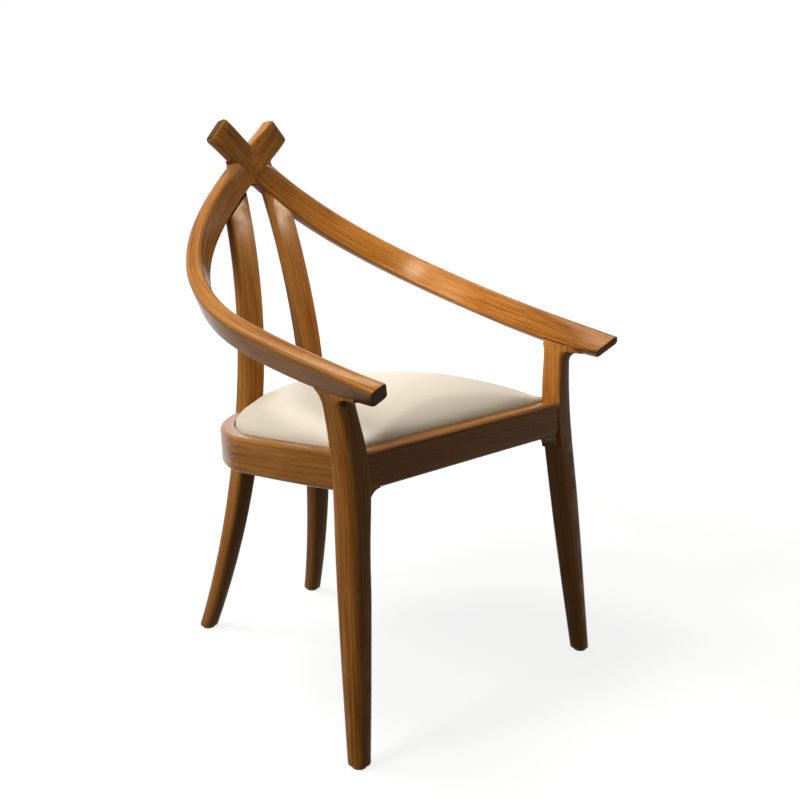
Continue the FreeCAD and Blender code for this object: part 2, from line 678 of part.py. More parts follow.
def pad_pieces():
    """Leather cover, foam, board and dust cloth."""
    base = pad_base()
    board_low = base + COVER_THICKNESS
    board_high = board_low + BOARD_THICKNESS
    opening = ring_prism(pad_inset() + COVER_TURN_IN, base - 1, board_high)
    hollow = pad_dome(COVER_THICKNESS, board_low, PAD_INNER_LEVELS)
    cover = pad_dome(0, base, PAD_LEVELS).cut([hollow, opening])
    filling = pad_dome(COVER_THICKNESS + SOFT_GAP, board_low, PAD_INNER_LEVELS)
    above = block(-FAR, FAR, -FAR, FAR, board_high, FAR)
    cloth = ring_prism(RAIL_THICKNESS + CLOTH_GAP, base - CLOTH_THICKNESS, base)
    return cover, filling.common(above), filling.cut(above), cloth


# Corner blocks, in the ring's frame

def block_top():
    return pad_base() - CLOTH_THICKNESS


def inner_room():
    """Space inside the ring at the height of the blocks."""
    return ring_prism(RAIL_THICKNESS + GLUE_GAP, block_top() - BLOCK_HEIGHT, block_top())


def front_corner():
    """Inner corner of the ring at the sitter's right."""
    return -(RING_FRONT_HALF_WIDTH - RAIL_THICKNESS), RAIL_FRONT_Y + RAIL_THICKNESS


def front_block():
    x, y = front_corner()
    over = RAIL_THICKNESS
    corner = [(x - over, y - over), (x + BLOCK_REACH + over, y - over), (x - over, y + BLOCK_REACH + over)]
    return inner_room().common(prism(corner, -RAIL_HEIGHT, 0))


def joint_angle():
    """Angle of the joint between side and back rail, from the side round to the back, in radians."""
    return math.acos(BACK_RAIL_HALF_WIDTH / RING_BACK_RADIUS)


def round_back(radius, angle, z):
    """Point at a radius and angle round the back, at the sitter's right."""
    return Vec(-radius * math.cos(angle), back_centre() + radius * math.sin(angle), z)


def rear_block():
    inner = RING_BACK_RADIUS - RAIL_THICKNESS
    slab = block(inner - REAR_BLOCK_DEPTH, FAR, -REAR_BLOCK_WIDTH / 2, REAR_BLOCK_WIDTH / 2, -RAIL_HEIGHT, 0)
    slab.rotate(MIDDLE, ALONG_Z, 180 - math.degrees(joint_angle()))
    slab.translate(Vec(0, back_centre(), 0))
    return inner_room().common(slab)


# Screws, in the ring's frame

def screw(seat, heading, length):
    """Pan-head screw whose head bears on the point seat."""
    shank = rod(SCREW_DIAMETER / 2, length, seat, heading, SCREW_FLATS)
    return shank.fuse(rod(SCREW_HEAD_DIAMETER / 2, SCREW_HEAD_HEIGHT, seat, heading * -1, SCREW_FLATS))


def screw_hole(seat, heading, length):
    """Hole for a screw with a pocket that its head goes in through."""
    shank = rod(SCREW_DIAMETER / 2 + SCREW_GAP, length + SCREW_GAP, seat, heading, SCREW_FLATS)
    pocket = rod(SCREW_HEAD_DIAMETER / 2 + SCREW_GAP, BLOCK_REACH, seat, heading * -1, SCREW_FLATS)
    return shank.fuse(pocket)


def block_screws():
    """Seats, headings and lengths of the screws through the two blocks at the sitter's right."""
    x, y = front_corner()
    z = block_top() - BLOCK_HEIGHT / 2
    length = BLOCK_SCREW_BED + BLOCK_SCREW_BITE
    places = [
        (Vec(x + BLOCK_SCREW_PLACE, y + BLOCK_SCREW_BED, z), Vec(0, -1, 0), length),
        (Vec(x + BLOCK_SCREW_BED, y + BLOCK_SCREW_PLACE, z), Vec(-1, 0, 0), length),
    ]
    radius = RING_BACK_RADIUS - RAIL_THICKNESS - BLOCK_SCREW_BED
    for side in (-1, 1):
        angle = joint_angle() + side * math.radians(REAR_SCREW_SPREAD)
        places.append((round_back(radius, angle, z), Vec(-math.cos(angle), math.sin(angle), 0), length))
    return places


def seat_screws():
    """The same for the screws up through those blocks into the board."""
    z = block_top() - BLOCK_HEIGHT
    length = BLOCK_HEIGHT + CLOTH_THICKNESS + COVER_THICKNESS + SEAT_SCREW_BITE
    front = Vec(-(RING_FRONT_HALF_WIDTH - SEAT_SCREW_INSET), RAIL_FRONT_Y + SEAT_SCREW_INSET, z)
    rear = round_back(RING_BACK_RADIUS - SEAT_SCREW_INSET, joint_angle(), z)
    return [(front, ALONG_Z, length), (rear, ALONG_Z, length)]


def post_screws():
    """The same for the screws through the back rail into the right rear post."""
    inner = RING_BACK_RADIUS - RAIL_THICKNESS
    face = back_centre() + math.sqrt(inner ** 2 - POST_SEAT_X ** 2)
    seat = face + POST_SCREW_SINK
    length = POST_SEAT_Y - POST_DEPTH / 2 - seat + POST_SCREW_BITE
    middle = -(REBATE_DEPTH + RAIL_HEIGHT) / 2
    heights = (middle - POST_SCREW_PITCH / 2, middle + POST_SCREW_PITCH / 2)
    return [(Vec(-POST_SEAT_X, seat, z), ALONG_Y, length) for z in heights]


def both_sides(shapes):
    return shapes + [mirrored(shape) for shape in shapes]


def screw_group(places):
    return [on_seat(s) for s in both_sides([screw(*place) for place in places])]


def hole_group(places):
    return [on_seat(s) for s in both_sides([screw_hole(*place) for place in places])]


# Glides

def glide(foot):
    return rod(GLIDE_DIAMETER / 2, GLIDE_HEIGHT, Vec(foot.x, foot.y, 0), ALONG_Z, GLIDE_FLATS)


# Assembly

def arm_pieces():
    """Both bows, lapped half into half where they cross."""
    bow = arm_bow().cut([leg_tenon(GLUE_GAP), post_tenon(GLUE_GAP)])
    room = arm_bow(GLUE_GAP)
    right = largest(bow.cut(mirrored(room).common(lap_side(False))))
    left = largest(mirrored(bow).cut(room.common(lap_side(True))))
    webs = [crossing_web((0, -1), WEB_ROUND)]
    webs += both_sides([crossing_web((1, 0), SIDE_WEB_ROUND)])
    return right.fuse([web.cut(mirrored(room)) for web in webs]), left


def leg_piece():
    leg = largest(leg_body().cut(arm_bow(GLUE_GAP))).fuse(leg_tenon())
    return leg.cut([on_seat(front_tenon(GLUE_GAP)), on_seat(side_tenon(GLUE_GAP))])


def post_piece(holes):
    post = largest(post_body().cut(arm_bow(GLUE_GAP, POST_DEPTH / 2))).fuse(post_tenon())
    return largest(post.cut(holes))


def ring_pieces(holes):
    """Front, right, left and back rail."""
    legs = both_sides([leg_body(GLUE_GAP)])
    posts = both_sides([post_body(GLUE_GAP)])
    loose = [on_seat(t) for t in both_sides([ring_tenon(GLUE_GAP)])]
    front = largest(on_seat(front_rail_bar()).cut(legs))
    front = front.fuse([on_seat(t) for t in both_sides([front_tenon()])])
    band = on_seat(ring_band())
    back = largest(band.common(on_seat(back_wedge(0))).cut(posts + loose + holes))
    side = band.cut([on_seat(back_wedge(GLUE_GAP)), block(0, FAR, -FAR, FAR, 0, 2 * FAR)])
    side = largest(side.fuse(on_seat(side_ear())).cut(legs))
    side = side.fuse(on_seat(side_tenon())).cut(loose + holes)
    return largest(front.cut(holes)), largest(side), mirrored(largest(side)), back


def build():
    pieces = {}
    block_holes = hole_group(block_screws())
    seat_holes = hole_group(seat_screws())
    post_holes = hole_group(post_screws())

    pieces["arm_bow_right"], pieces["arm_bow_left"] = arm_pieces()
    leg = leg_piece()
    post = post_piece(post_holes)
    pieces["front_leg_right"], pieces["front_leg_left"] = both_sides([leg])
    pieces["rear_post_right"], pieces["rear_post_left"] = both_sides([post])
    rails = ring_pieces(block_holes + post_holes)
    for name, rail in zip(("front_rail", "side_rail_right", "side_rail_left", "back_rail"), rails):
        pieces[name] = rail
    pieces["ring_tenons"] = Part.makeCompound([on_seat(t) for t in both_sides([ring_tenon()])])

    cover, foam, board, cloth = [on_seat(shape) for shape in pad_pieces()]
    pieces["seat_cover"] = cover.cut(seat_holes)
    pieces["seat_foam"] = foam
    pieces["seat_board"] = board.cut(seat_holes)
    pieces["dust_cloth"] = cloth.cut(seat_holes)

    for place, shape in (("front", front_block()), ("rear", rear_block())):
        right = largest(on_seat(shape).cut(block_holes + seat_holes + post_holes))
        pieces["corner_block_%s_right" % place] = right
        pieces["corner_block_%s_left" % place] = mirrored(right)
    pieces["block_screws"] = Part.makeCompound(screw_group(block_screws()))
    pieces["seat_screws"] = Part.makeCompound(screw_group(seat_screws()))
    pieces["post_screws"] = Part.makeCompound(screw_group(post_screws()))

    for place, foot in (("front", leg_centre(GLIDE_HEIGHT)), ("rear", post_centre(GLIDE_HEIGHT))):
        pieces["glide_%s_right" % place], pieces["glide_%s_left" % place] = both_sides([glide(foot)])
    return pieces


def middle_depth(pieces):
    """Middle of the chair from front to back."""
    points = [p.y for name in ("arm_bow_right", "rear_post_right") for p in pieces[name].tessellate(0.1)[0]]
    return (min(points) + max(points)) / 2


def main():
    pieces = build()
    shift = Vec(0, -middle_depth(pieces), 0)
    os.makedirs("parts", exist_ok=True)
    for name, shape in pieces.items():
        shape.translate(shift)
        shape.exportStep("parts/%s.step" % name)


main()
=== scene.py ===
import math

import bmesh
import bpy
import numpy as np
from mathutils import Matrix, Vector


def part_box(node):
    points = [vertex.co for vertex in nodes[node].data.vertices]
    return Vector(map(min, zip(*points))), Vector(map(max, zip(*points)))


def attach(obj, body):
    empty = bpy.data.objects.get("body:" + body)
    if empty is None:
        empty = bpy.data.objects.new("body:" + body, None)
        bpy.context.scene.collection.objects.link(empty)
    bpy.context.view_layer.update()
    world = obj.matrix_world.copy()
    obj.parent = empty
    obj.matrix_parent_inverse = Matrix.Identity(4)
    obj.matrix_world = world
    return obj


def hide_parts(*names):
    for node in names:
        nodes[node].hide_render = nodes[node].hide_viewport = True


# Wooden armchair with crossed arm bows and a leather seat pad. Metres, +Z up, the front faces -Y.

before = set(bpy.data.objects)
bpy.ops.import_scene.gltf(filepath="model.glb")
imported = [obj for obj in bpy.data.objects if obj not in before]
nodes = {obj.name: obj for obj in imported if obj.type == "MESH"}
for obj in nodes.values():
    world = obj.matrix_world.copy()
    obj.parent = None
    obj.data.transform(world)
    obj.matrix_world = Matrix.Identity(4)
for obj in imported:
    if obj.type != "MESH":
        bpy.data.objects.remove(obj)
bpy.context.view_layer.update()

# Camera at the photograph's place
CAMERA_PLACE = (-1.2052, -1.2419, 0.81)
CAMERA_PITCH = 77.67      # degrees
CAMERA_TURN = -45.97      # degrees
CAMERA_LENS = 50.0        # millimetres
CAMERA_SENSOR = 36.0      # millimetres

# Seat plane: a point on the ring's top and its fall to the back
SEAT_FRONT = Vector((0, -0.2226, 0.429))
SEAT_SLOPE = math.radians(3.5)

# Seat pad
PAD_VOXEL = 0.005
PAD_PRESSURE = 4.0
PAD_STIFFNESS = 30.0
PAD_BENDING = 4.0
PAD_FRAMES = 20
PAD_SWELL = 0.003         # furthest that the leather may move
PAD_EASE = 0.012          # height above the ring over which it becomes free to move

# Lining under the pad
LINING_THICKNESS = 0.0006
LINING_SAG = 0.006
LINING_FREE = 0.62        # share of its reach that sags
LINING_RINGS = 12

# White ground: near the chair it keeps the shadow, further out it is plain white
FLOOR_REACH = 8.0
FLOOR_SHADOW = (0.9, 1.9)  # distances between which the shadow fades out
FLOOR_NEAR = 0.84         # own brightness near the chair
FLOOR_SHADE = (0.22, 0.215, 0.21, 1)    # how much of the lamps' light it shows
FLOOR_BOUNCE = (0.06, 0.057, 0.053, 1)  # how much of that light it throws back on the chair

# Light that falls on the chair from all round
FILL_STRENGTH = 0.12
FILL_COLOUR = (1.0, 0.96, 0.90, 1)

# Lines that the grain follows; a paired piece has the sitter's left one, mirrored for the right
ARM_LINE = ((0.251, -0.290, 0.518), (0.256, -0.195, 0.535), (0.260, -0.035, 0.565),
            (0.221, 0.122, 0.620), (0.115, 0.238, 0.707), (0.0, 0.279, 0.799), (-0.0645, 0.287, 0.858))
LEG_LINE = ((0.258, -0.250, 0.0), (0.232, -0.212, 0.360), (0.236, -0.203, 0.450), (0.249, -0.195, 0.540))
POST_LINE = ((0.122, 0.275, 0.0), (0.090, 0.220, 0.230), (0.070, 0.205, 0.420), (0.056, 0.218, 0.580),
             (0.046, 0.252, 0.708), (0.044, 0.268, 0.760))
FRONT_LINE = ((-0.235, -0.206, 0.402), (0.0, -0.206, 0.402), (0.235, -0.206, 0.402))
SIDE_LINE = ((0.220, -0.190, 0.400), (0.231, -0.050, 0.391), (0.226, 0.060, 0.385),
             (0.180, 0.135, 0.380), (0.110, 0.178, 0.377))
BACK_LINE = ((-0.118, 0.176, 0.377), (-0.060, 0.192, 0.376), (0.0, 0.197, 0.376), (0.060, 0.192, 0.376),
             (0.118, 0.176, 0.377))
LINE_STEPS = 24           # straight steps between two of these points
UPRIGHT_RISE = 0.4        # a piece that rises further than this is an upright one
GRAIN_SHIFT = Vector((0.071, 0.043, 0.37))  # moves a piece to another place in the timber
GRAIN_PLACES = 5          # number of such places

# Faces of the wooden pieces
EDGE_WIDTH = 0.006        # narrower faces are rounded edges
SHORTEST_FACE = 0.0001    # least length that a width is worked out with
END_SHARE = 0.6           # faces that look along the grain by more than this are end grain
SMOOTH_ANGLE = 42.0       # degrees between faces that shade as one
TINY = 1e-12              # keeps a division away from zero

# Finishes; where a pattern has several colours, each stands with its place in the pattern
WOOD_TONES = ((0.34, (0.185, 0.055, 0.007)), (0.45, (0.300, 0.105, 0.0145)),
              (0.55, (0.385, 0.148, 0.0235)), (0.68, (0.470, 0.205, 0.042)))
WOOD_PORE = (0.090, 0.026, 0.004, 1)
WOOD_PORE_SHARE = 0.42
# Lighter colour on rounded edges: partly rubbed lacquer, partly a painted highlight along the edges
WOOD_WORN_AND_HIGHLIGHT = (0.48, 0.23, 0.065, 1)
WOOD_WORN_AND_HIGHLIGHT_SHARE = 0.25
WOOD_SHEEN = (1.0, 0.78, 0.52, 1)
WOOD_STREAK_HEIGHT = 0.4  # beside the depth of a pore
END_TONES = ((0.30, (0.030, 0.009, 0.002)), (0.70, (0.120, 0.040, 0.008)))
LEATHER_TONES = ((0.30, (0.650, 0.573, 0.446)), (0.70, (0.690, 0.614, 0.484)))
# Darker colour in the pebbled grain's valleys: painted shade
LEATHER_VALLEY_SHADE = (0.59, 0.49, 0.36, 1)
LEATHER_VALLEY_SHADE_SHARE = 0.25
LEATHER_FINE_HEIGHT = 0.3  # beside the height of a pebble
SPECKLE_SPAN = 0.08       # how far a speckled surface's roughness varies either way
BLACK = (0, 0, 0)
WHITE = (1, 1, 1)


# Shader helpers

def fill(tree, node, **values):
    """Sets or links properties and inputs by name, spaces as underscores; i0, i1, ... are inputs by place."""
    for key, value in values.items():
        if hasattr(node, key):
            setattr(node, key, value)
            continue
        by_place = key[0] == "i" and key[1:].isdigit()
        socket = node.inputs[int(key[1:]) if by_place else key.replace("_", " ")]
        if isinstance(value, bpy.types.NodeSocket):
            tree.links.new(value, socket)
        else:
            socket.default_value = value
    return node


def add(tree, kind, **values):
    """New node with the values that fill takes."""
    return fill(tree, tree.nodes.new("ShaderNode" + kind), **values)


def material(name):
    """New material with its node tree and its shader."""
    made = bpy.data.materials.new(name)
    made.use_nodes = True
    tree = made.node_tree
    tree.nodes.clear()
    shader = add(tree, "BsdfPrincipled")
    add(tree, "OutputMaterial", Surface=shader.outputs[0])
    return made, tree, shader


def ramp(tree, factor, stops):
    """Colour ramp through (position, colour) stops."""
    node = add(tree, "ValToRGB", Fac=factor)
    elements = node.color_ramp.elements
    while len(elements) < len(stops):
        elements.new(0.5)
    for element, (position, colour) in zip(elements, stops):
        element.position = position
        element.color = (*colour, 1.0)
    return node.outputs["Color"]


def math_node(tree, operation, first, second):
    return add(tree, "Math", operation=operation, i0=first, i1=second).outputs[0]


def scaled(tree, value, factor):
    return math_node(tree, "MULTIPLY", value, factor)


def weighted(tree, first, *others):
    """Sum of values, each given with its weight."""
    total = scaled(tree, *first)
    for value, weight in others:
        total = math_node(tree, "ADD", total, scaled(tree, value, weight))
    return total


def blend_colours(tree, factor, first, second):
    return add(tree, "Mix", data_type="RGBA", i0=factor, i6=first, i7=second).outputs[2]


def own_place(tree):
    return add(tree, "TexCoord").outputs["Object"]


def along_grain(tree, squeeze):
    """Place in the timber, squeezed lengthways so that a pattern runs along the grain."""
    grain = add(tree, "Attribute", attribute_name="grain").outputs["Vector"]
    return add(tree, "Mapping", Vector=grain, Scale=(1.0, 1.0, squeeze)).outputs["Vector"]


def grain_noise(tree, squeeze, scale, detail, roughness):
    place = along_grain(tree, squeeze)
    return add(tree, "TexNoise", Vector=place, Scale=scale, Detail=detail, Roughness=roughness).outputs["Fac"]


def growth_rings(tree, distortion, detail, roughness):
    place = along_grain(tree, squeeze=0.05)
    return add(tree, "TexWave", Vector=place, wave_type="RINGS", rings_direction="Z", wave_profile="SIN",
               Scale=75.0, Distortion=distortion, Detail=detail, Detail_Scale=0.6,
               Detail_Roughness=roughness).outputs["Fac"]


def surface(tree, shader, colour, rough, limits, height, strength, depth):
    """Gives a shader its colour, its roughness between two limits and its bump, each from a pattern."""
    rough = add(tree, "MapRange", Value=rough, To_Min=limits[0], To_Max=limits[1]).outputs["Result"]
    bump = add(tree, "Bump", Strength=strength, Distance=depth, Height=height).outputs["Normal"]
    fill(tree, shader, Base_Color=colour, Roughness=rough, Normal=bump)


# Materials

def walnut():
    """Golden brown lacquered hardwood, its streaks, rings and pores laid along each piece."""
    made, tree, shader = material("walnut")
    edge = add(tree, "Attribute", attribute_name="edge").outputs["Fac"]
    rings = growth_rings(tree, distortion=9.0, detail=3.0, roughness=0.6)
    streaks = grain_noise(tree, squeeze=0.02, scale=260.0, detail=5.0, roughness=0.6)
    pores = grain_noise(tree, squeeze=0.05, scale=1500.0, detail=2.0, roughness=0.6)
    broad = grain_noise(tree, squeeze=0.15, scale=26.0, detail=2.0, roughness=0.6)

    colour = ramp(tree, weighted(tree, (streaks, 0.62), (rings, 0.07), (broad, 0.31)), WOOD_TONES)
    pore_mask = ramp(tree, pores, ((0.33, WHITE), (0.42, BLACK)))
    colour = blend_colours(tree, scaled(tree, pore_mask, WOOD_PORE_SHARE), colour, WOOD_PORE)
    # Rounded edges lightened, partly as rubbed lacquer and partly as a painted highlight
    worn_and_highlight = math_node(tree, "MULTIPLY", edge, scaled(tree, broad, WOOD_WORN_AND_HIGHLIGHT_SHARE))
    colour = blend_colours(tree, worn_and_highlight, colour, WOOD_WORN_AND_HIGHLIGHT)
    height = math_node(tree, "SUBTRACT", scaled(tree, streaks, WOOD_STREAK_HEIGHT), pore_mask)
    surface(tree, shader, colour, rough=streaks, limits=(0.15, 0.27),
            height=height, strength=0.10, depth=0.0004)
    fill(tree, shader, IOR=1.2, Specular_IOR_Level=0.5, Specular_Tint=WOOD_SHEEN)
    return made


def walnut_end():
    """Dark open end grain of the same wood, with rings and pores."""
    made, tree, shader = material("walnut_end")
    rings = growth_rings(tree, distortion=6.0, detail=2.0, roughness=0.5)
    pores = grain_noise(tree, squeeze=0.05, scale=1300.0, detail=2.0, roughness=0.5)
    colour = ramp(tree, weighted(tree, (rings, 0.5), (pores, 0.5)), END_TONES)
    surface(tree, shader, colour, rough=pores, limits=(0.5, 0.7),
            height=pores, strength=0.1, depth=0.0002)
    fill(tree, shader, IOR=1.25, Specular_IOR_Level=0.3)
    return made


def leather():
    """Smooth cream leather with a fine pebbled grain and painted shade in the grain's valleys."""
    made, tree, shader = material("cream_leather")
    place = own_place(tree)
    cells = add(tree, "TexVoronoi", Vector=place, feature="SMOOTH_F1", Scale=620.0, Smoothness=0.6)
    pebbles = cells.outputs["Distance"]
    fine = add(tree, "TexNoise", Vector=place, Scale=1600.0, Detail=3.0).outputs["Fac"]
    cloud = add(tree, "TexNoise", Vector=place, Scale=9.0, Detail=3.0).outputs["Fac"]
    colour = ramp(tree, cloud, LEATHER_TONES)
    # Painted shade: the grain's valleys darkened
    valley_shade = ramp(tree, pebbles, ((0.35, BLACK), (0.75, WHITE)))
    colour = blend_colours(tree, scaled(tree, valley_shade, LEATHER_VALLEY_SHADE_SHARE), colour, LEATHER_VALLEY_SHADE)
    height = math_node(tree, "SUBTRACT", scaled(tree, fine, LEATHER_FINE_HEIGHT), pebbles)
    surface(tree, shader, colour, rough=fine, limits=(0.42, 0.58),
            height=height, strength=0.22, depth=0.0005)
    fill(tree, shader, Specular_IOR_Level=0.3)
    return made


def plain_wood(name, dark, light, stretch, scale):
    """Unfinished pale wood with a straight grain along the axis that stretch squeezes."""
    made, tree, shader = material(name)
    place = add(tree, "Mapping", Vector=own_place(tree), Scale=stretch).outputs["Vector"]
    streaks = add(tree, "TexNoise", Vector=place, Scale=scale, Detail=4.0).outputs["Fac"]
    colour = ramp(tree, streaks, ((0.3, dark), (0.7, light)))
    surface(tree, shader, colour, rough=streaks, limits=(0.55, 0.75),
            height=streaks, strength=0.15, depth=0.0003)
    return made


def speckled(name, dark, light, scale, roughness, metal=0.0, depth=0.0002):
    """Even material with a fine speckle, for steel, nylon and lining."""
    made, tree, shader = material(name)
    noise = add(tree, "TexNoise", Vector=own_place(tree), Scale=scale, Detail=3.0).outputs["Fac"]
    colour = ramp(tree, noise, ((0.35, dark), (0.65, light)))
    limits = (roughness - SPECKLE_SPAN, roughness + SPECKLE_SPAN)
    surface(tree, shader, colour, rough=noise, limits=limits, height=noise, strength=0.2, depth=depth)
    fill(tree, shader, Metallic=metal)
    return made


# Wooden pieces: grain, edges and shading of the CAD nodes

def curve_through(points):
    """Points of a smooth line through the given ones, a Catmull-Rom spline."""
    p = np.array(points, float)
    p = np.vstack([2 * p[0] - p[1], p, 2 * p[-1] - p[-2]])
    t = np.linspace(0, 1, LINE_STEPS, endpoint=False)[:, None]
    line = []
    for a, b, c, d in zip(p[:-3], p[1:-2], p[2:-1], p[3:]):
        square = 2 * a - 5 * b + 4 * c - d
        cube = 3 * b - a - 3 * c + d
        line.append(0.5 * (2 * b + (c - a) * t + square * t ** 2 + cube * t ** 3))
    return np.vstack(line + [p[-2:-1]])


def read(collection, name, width, kind=np.float32):
    """One property of all items of a mesh's collection, a row for each."""
    values = np.empty(len(collection) * width, kind)
    collection.foreach_get(name, values)
    return values.reshape(-1, width)


def unit(vectors):
    return vectors / np.maximum(np.linalg.norm(vectors, axis=1, keepdims=True), TINY)


def nearest_on(line, points):
    """For each point, the line's nearest place: its run from the start, itself and the direction there."""
    start, step = line[:-1], line[1:] - line[:-1]
    size = np.linalg.norm(step, axis=1)
    share = np.clip(((points[:, None] - start) * step).sum(2) / size ** 2, 0, 1)
    place = start + step * share[..., None]
    best = ((points[:, None] - place) ** 2).sum(2).argmin(1)
    row = np.arange(len(points))
    run = np.concatenate([[0], np.cumsum(size)])[best] + share[row, best] * size[best]
    return run, place[row, best], step[best] / size[best][:, None]


def write_attribute(mesh, name, kind, domain, values):
    field = mesh.attributes.new(name, kind, domain)
    key = "vector" if kind == "FLOAT_VECTOR" else "value"
    field.data.foreach_set(key, np.asarray(values, np.float32).ravel())


def islands(mesh):
    """Number of the connected patch, one CAD face each, that every polygon belongs to."""
    parent = list(range(len(mesh.vertices)))

    def root(i):
        while parent[i] != i:
            parent[i] = parent[parent[i]]
            i = parent[i]
        return i

    for polygon in mesh.polygons:
        first = root(polygon.vertices[0])
        for other in polygon.vertices[1:]:
            parent[root(other)] = first
    return np.array([root(polygon.vertices[0]) for polygon in mesh.polygons])


def lay_grain(mesh, points, number):
    """Writes each point's place in the timber and marks rounded edges; returns which faces are end grain."""
    line = curve_through(points)
    place = read(mesh.vertices, "co", 3)
    run, near, along = nearest_on(line, place)
    upright = abs(points[-1][2] - points[0][2]) > UPRIGHT_RISE
    reference = np.array((0.0, 1.0, 0.0) if upright else (0.0, 0.0, 1.0))
    across = unit(np.cross(along, reference))
    deep = np.cross(across, along)
    offset = place - near
    timber = np.stack([(offset * across).sum(1), (offset * deep).sum(1), run], 1)
    shift = np.array(GRAIN_SHIFT) * (1 + number % GRAIN_PLACES)
    write_attribute(mesh, "grain", "FLOAT_VECTOR", "POINT", timber + shift)

    area = read(mesh.polygons, "area", 1)[:, 0]
    normal = read(mesh.polygons, "normal", 3)
    centre = read(mesh.polygons, "center", 3)
    heading = nearest_on(line, centre)[2]
    patches = islands(mesh)
    edge, end = np.zeros(len(area)), np.zeros(len(area))
    for patch in np.unique(patches):
        inside = patches == patch
        length = max(np.ptp(centre[inside], axis=0).max(), SHORTEST_FACE)
        edge[inside] = area[inside].sum() / length < EDGE_WIDTH
        end[inside] = np.abs((normal[inside] * heading[inside]).sum(1)).mean() > END_SHARE
    write_attribute(mesh, "edge", "FLOAT", "FACE", edge)
    return end


def smooth_faces(mesh):
    mesh.polygons.foreach_set("use_smooth", np.ones(len(mesh.polygons), bool))


def shade_smooth(mesh):
    """Corner normals averaged over neighbouring faces, so that a rounded edge's flats shade as one round."""
    place = np.round(read(mesh.vertices, "co", 3), decimals=6)
    shared = np.unique(place, axis=0, return_inverse=True)[1].ravel()
    normal = read(mesh.polygons, "normal", 3)
    area = read(mesh.polygons, "area", 1)[:, 0]
    corner_point = shared[read(mesh.loops, "vertex_index", 1, np.int32)[:, 0]]
    corner_face = np.repeat(np.arange(len(mesh.polygons)), [len(p.vertices) for p in mesh.polygons])
    around = {}
    for point, face in zip(corner_point, corner_face):
        around.setdefault(point, []).append(face)
    limit = math.cos(math.radians(SMOOTH_ANGLE))
    smooth = np.empty((len(corner_point), 3))
    for i, (point, face) in enumerate(zip(corner_point, corner_face)):
        faces = np.array(around[point])
        close = faces[normal[faces] @ normal[face] > limit]
        total = (normal[close] * area[close][:, None]).sum(0)
        smooth[i] = total / max(np.linalg.norm(total), TINY)
    smooth_faces(mesh)
    mesh.normals_split_custom_set(smooth)


def dress(node, *made):
    """Gives a CAD node these materials alone."""
    slots = nodes[node].data.materials
    slots.clear()
    for one in made:
        slots.append(one)


def dress_wood():
    """Pieces of the chair's frame."""
    made = walnut(), walnut_end()
    lines = {"front_rail": FRONT_LINE, "back_rail": BACK_LINE}
    pairs = {"arm_bow": ARM_LINE, "front_leg": LEG_LINE, "rear_post": POST_LINE, "side_rail": SIDE_LINE}
    for name, line in pairs.items():
        lines[name + "_left"] = line
        lines[name + "_right"] = tuple((-x, y, z) for x, y, z in line)
    for number, (node, line) in enumerate(sorted(lines.items())):
        mesh = nodes[node].data
        end = lay_grain(mesh, line, number)
        shade_smooth(mesh)
        dress(node, *made)
        mesh.polygons.foreach_set("material_index", end.astype(np.int32))


def dress_hidden():
    """Pieces under the seat and the feet."""
    beech = plain_wood("beech", dark=(0.42, 0.25, 0.13), light=(0.60, 0.41, 0.24),
                       stretch=(0.05, 1, 1), scale=160.0)
    plywood = plain_wood("plywood", dark=(0.45, 0.29, 0.15), light=(0.66, 0.47, 0.28),
                         stretch=(0.04, 0.6, 1), scale=90.0)
    steel = speckled("steel", dark=(0.42, 0.42, 0.43), light=(0.60, 0.60, 0.62),
                     scale=900.0, roughness=0.34, metal=1.0)
    nylon = speckled("glide_nylon", dark=(0.020, 0.012, 0.008), light=(0.040, 0.026, 0.018),
                     scale=700.0, roughness=0.55)
    for node in sorted(nodes):
        if node.startswith("corner_block") or node == "ring_tenons":
            dress(node, beech)
        elif node.endswith("screws"):
            dress(node, steel)
        elif node.startswith("glide"):
            dress(node, nylon)
    dress("seat_board", plywood)


# Seat pad and its lining

def over_ring(point):
    """Height of a point above the plane of the ring's top."""
    offset = point - SEAT_FRONT
    return offset.z * math.cos(SEAT_SLOPE) + offset.y * math.sin(SEAT_SLOPE)


def new_object(name, data):
    made = bpy.data.objects.new(name, data)
    bpy.context.scene.collection.objects.link(made)
    return made


def apply_modifiers(piece):
    graph = bpy.context.evaluated_depsgraph_get()
    mesh = bpy.data.meshes.new_from_object(piece.evaluated_get(graph))
    piece.modifiers.clear()
    piece.data = mesh


def soften(piece, rounds):
    smooth = piece.modifiers.new("soften", "SMOOTH")
    smooth.factor = 0.5
    smooth.iterations = rounds


def pad_blank():
    """Closed crowned form of the pad, from the outside of the CAD cover."""
    form = bmesh.new()
    for vertex in nodes["seat_cover"].data.vertices:
        form.verts.new(vertex.co)
    hull = bmesh.ops.convex_hull(form, input=form.verts)
    spare = hull["geom_interior"] + hull["geom_unused"]
    inner = {item for item in spare if isinstance(item, bmesh.types.BMVert)}
    bmesh.ops.delete(form, geom=list(inner), context="VERTS")
    mesh = bpy.data.meshes.new("seat_pad")
    form.to_mesh(mesh)
    form.free()
    piece = new_object("seat_pad", mesh)
    remesh = piece.modifiers.new("voxels", "REMESH")
    remesh.mode = "VOXEL"
    remesh.voxel_size = PAD_VOXEL
    soften(piece, rounds=4)
    apply_modifiers(piece)
    return piece


